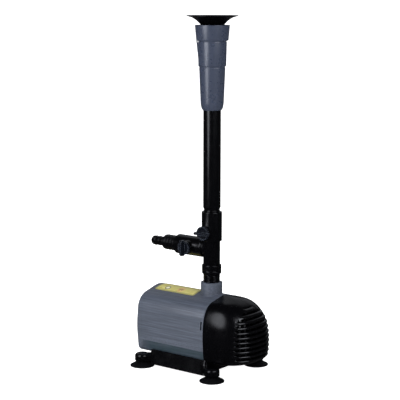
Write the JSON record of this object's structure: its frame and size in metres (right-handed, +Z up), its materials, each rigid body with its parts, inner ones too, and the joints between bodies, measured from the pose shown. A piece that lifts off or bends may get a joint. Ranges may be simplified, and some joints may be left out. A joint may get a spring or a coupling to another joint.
{
  "type": "fountain submersible pump",
  "caption": "Submersible fountain pump on a suction-cup base, with a clip-off strainer, a swivelling valve tee with a stepped hose tail, a riser tube and a trumpet nozzle.",
  "frame": {"origin": "on the ground plane, under the middle of the overall length and width", "axes": "+Z up, +X towards the strainer's nose, -Y on the side with the valve knobs"},
  "size_m": [0.2, 0.1442, 0.5139],
  "materials": {
    "housing_grey": "moulded, satin",
    "nozzle_grey": "moulded, satin",
    "label_yellow": "printed film",
    "black_gloss": "polished mould finish",
    "black_satin": "satin mould finish",
    "black_rubber": "soft rubber",
    "seal_rubber": "nitrile rubber",
    "laminated_steel": "stacked sheets",
    "white_nylon": "plain",
    "enamelled_copper": "varnished wire",
    "dark_resin": "cast",
    "ferrite": "ground",
    "ceramic": "polished",
    "stainless": "turned"
  },
  "bodies": {
    "pump": {"motor_housing": "housing_grey", "name_plate": "label_yellow", "cable_gland": "black_satin", "gland_nut": "black_satin", "gland_seal": "black_rubber", "stator_core": "laminated_steel", "winding_bobbins": "white_nylon", "copper_windings": "enamelled_copper", "potting_resin": "dark_resin", "rotor_well": "black_satin", "pump_shaft": "ceramic", "rear_bush": "black_rubber", "front_bush": "black_rubber", "volute_casing": "black_satin", "chamber_rear_seal": "seal_rubber", "chamber_front_seal": "seal_rubber", "volute_cover": "black_satin", "cover_screws": "stainless", "base_bracket": "black_satin", "suction_cup_front_left": "black_rubber", "suction_cup_front_right": "black_rubber", "suction_cup_rear_left": "black_rubber", "suction_cup_rear_right": "black_rubber", "outlet_adapter": "black_satin", "adapter_o_ring": "seal_rubber"},
    "rotor": {"rotor_magnet": "ferrite", "rotor_sleeve": "black_satin"},
    "impeller": {"impeller": "black_satin"},
    "strainer": {"strainer_cage": "black_gloss", "strainer_latches": "black_satin"},
    "tee": {"diverter_body": "black_satin", "tee_o_ring": "seal_rubber", "hose_tail": "black_satin", "hose_tail_o_ring": "seal_rubber", "riser_tube": "black_satin", "nozzle_body": "nozzle_grey", "stem_carrier": "black_satin"},
    "riser_valve": {"riser_valve_plug": "black_satin", "riser_valve_knob": "black_satin", "riser_valve_o_ring": "seal_rubber"},
    "branch_valve": {"branch_valve_plug": "black_satin", "branch_valve_knob": "black_satin", "branch_valve_o_ring": "seal_rubber"},
    "trumpet": {"trumpet_stem": "stainless", "trumpet_flare": "black_gloss"}
  },
  "joints": [
    {"name": "rotor_spin", "type": "hinge", "parent": "pump", "child": "rotor", "pos_m": [-0.038, 0, 0.056], "axis": [1, 0, 0], "continuous": true},
    {"name": "impeller_play", "type": "hinge", "parent": "rotor", "child": "impeller", "pos_m": [0.005, 0, 0.056], "axis": [1, 0, 0], "range_deg": [-95, 95]},
    {"name": "tee_swivel", "type": "hinge", "parent": "pump", "child": "tee", "pos_m": [0.012, 0, 0.15], "axis": [0, 0, 1], "continuous": true},
    {"name": "riser_valve_turn", "type": "hinge", "parent": "tee", "child": "riser_valve", "pos_m": [0.012, -0.0216, 0.204], "axis": [0, 1, 0], "range_deg": [0, 90]},
    {"name": "branch_valve_turn", "type": "hinge", "parent": "tee", "child": "branch_valve", "pos_m": [-0.0225, -0.0216, 0.1788], "axis": [0, 1, 0], "range_deg": [0, 90]},
    {"name": "trumpet_lift", "type": "slide", "parent": "tee", "child": "trumpet", "axis": [0, 0, 1], "range_m": [0, 0.006]},
    {"name": "strainer_pull", "type": "slide", "parent": "pump", "child": "strainer", "axis": [1, 0, 0], "range_m": [0, 0.06], "deforming": ["strainer_latches"]}
  ]
}
